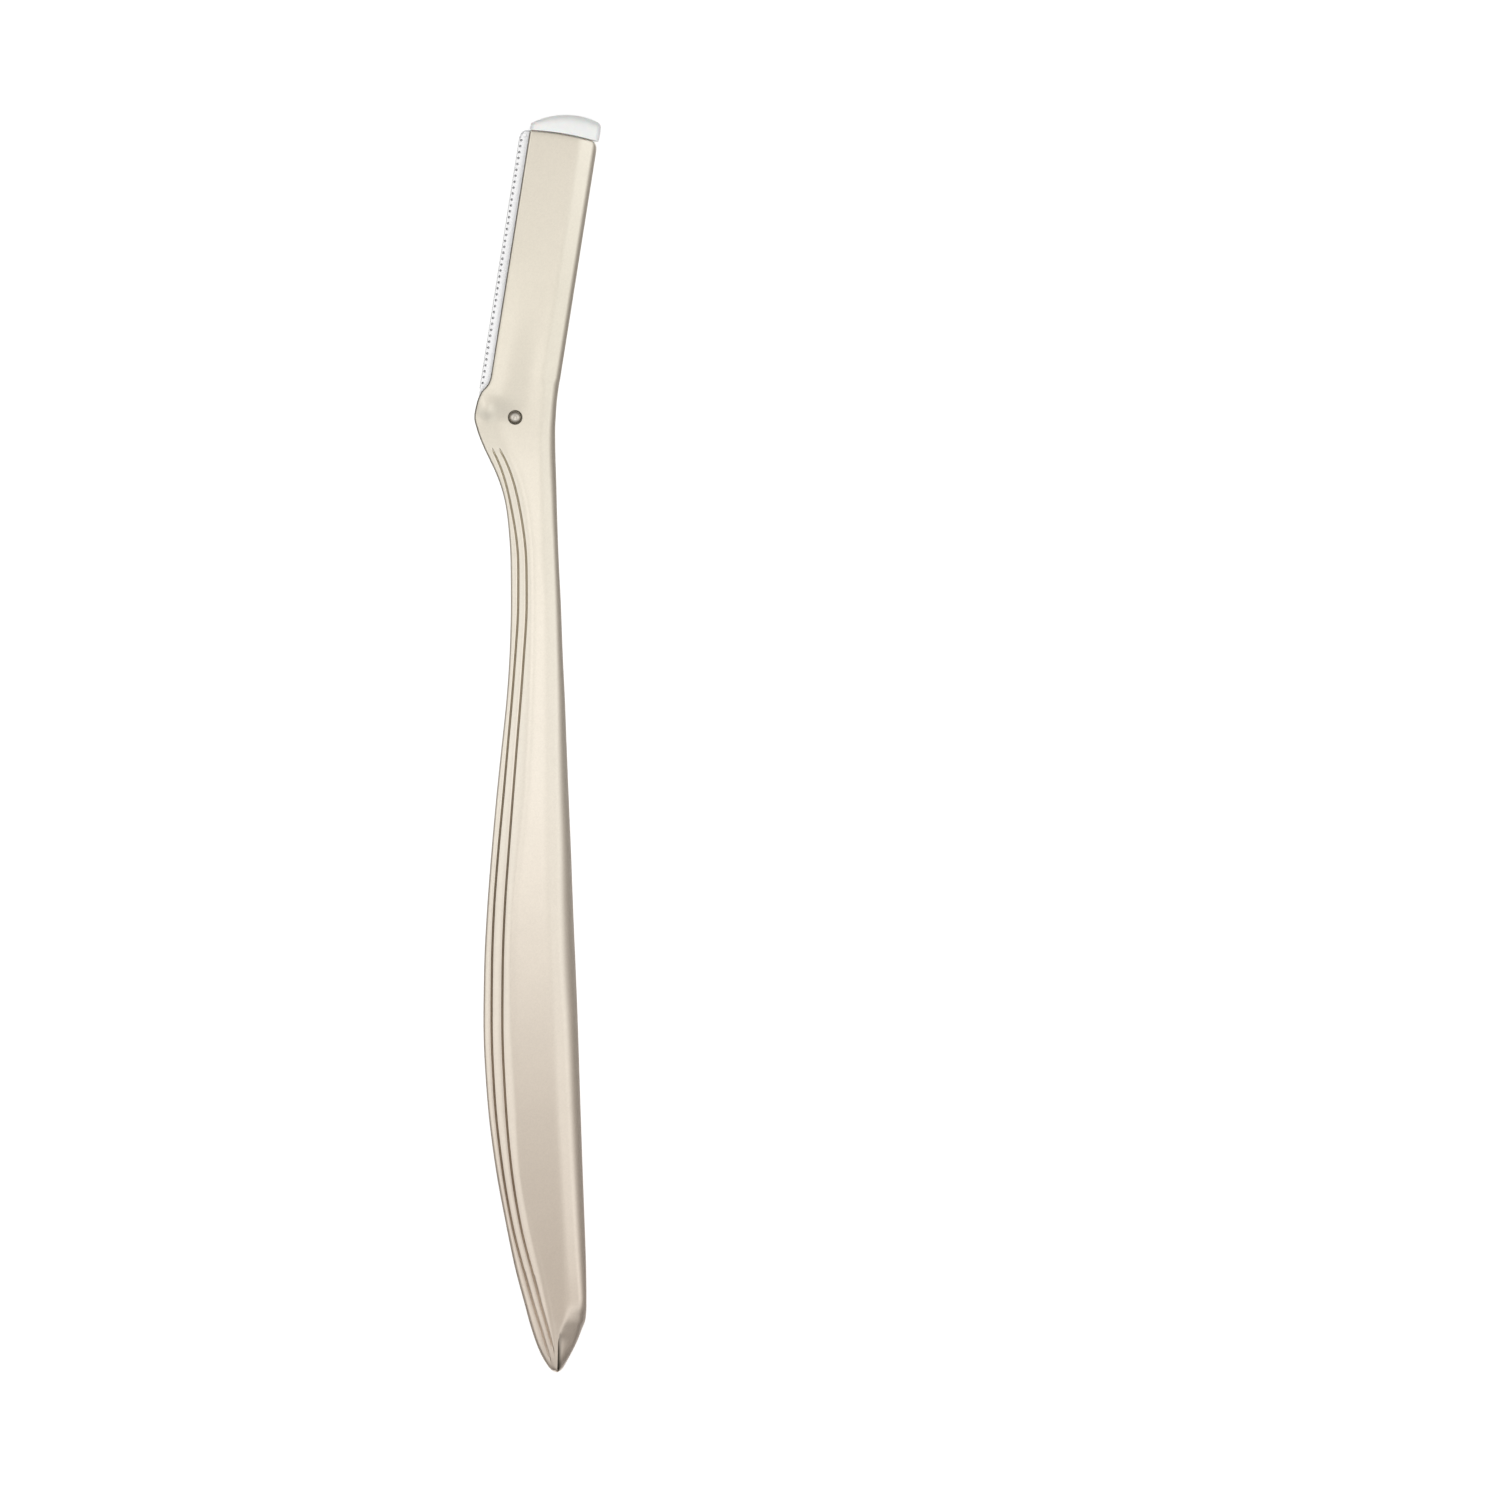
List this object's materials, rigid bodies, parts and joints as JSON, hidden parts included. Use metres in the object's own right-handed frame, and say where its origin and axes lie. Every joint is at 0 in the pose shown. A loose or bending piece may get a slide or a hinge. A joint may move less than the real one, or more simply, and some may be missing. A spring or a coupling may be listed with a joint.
{
  "type": "eyebrow razor",
  "caption": "Slim satin eyebrow razor: grooved two-shell handle, slotted head, and a white carrier with guarded blade and thumb tab that swings out on a domed pivot pin.",
  "frame": {"origin": "centre of the bounding box in plan, on the plane that the flat of the handle's back rests on", "axes": "+Z out of the front face, +Y along the razor towards the head, +X towards the head's spine; the blade's edge faces -X"},
  "size_m": [0.0148, 0.1468, 0.006],
  "materials": {
    "satin_champagne": "satin champagne coating with fine metal flake over die-cast zinc alloy",
    "bar_steel": "plain cold-rolled steel",
    "pin_steel": "polished stainless steel",
    "bearing_brass": "turned brass",
    "spring_steel": "blued spring steel strip",
    "white_acetal": "moulded white acetal, soft sheen",
    "blade_steel": "ground stainless blade steel",
    "guard_white": "thin moulded white guard strip",
    "clamp_steel": "stamped stainless sheet"
  },
  "bodies": {
    "handle": {"front_shell": "satin_champagne", "back_shell": "satin_champagne", "stiffening_bar": "bar_steel", "locating_dowels": "pin_steel", "pivot_pin": "pin_steel", "pivot_cap": "pin_steel", "pivot_washers": "bearing_brass", "click_spring": "spring_steel", "spring_pin": "pin_steel", "stop_pin": "pin_steel"},
    "carrier": {"blade_carrier": "white_acetal", "carrier_bush": "bearing_brass", "blade": "blade_steel", "front_guard": "guard_white", "back_guard": "guard_white", "clamp_plate": "clamp_steel", "clamp_rivets": "pin_steel", "thumb_tab": "white_acetal"}
  },
  "joints": [
    {"name": "carrier_swing", "type": "hinge", "parent": "handle", "child": "carrier", "pos_m": [-0.00266, 0.03804, 0.003], "axis": [0, 0, 1], "range_deg": [0, 20]}
  ]
}
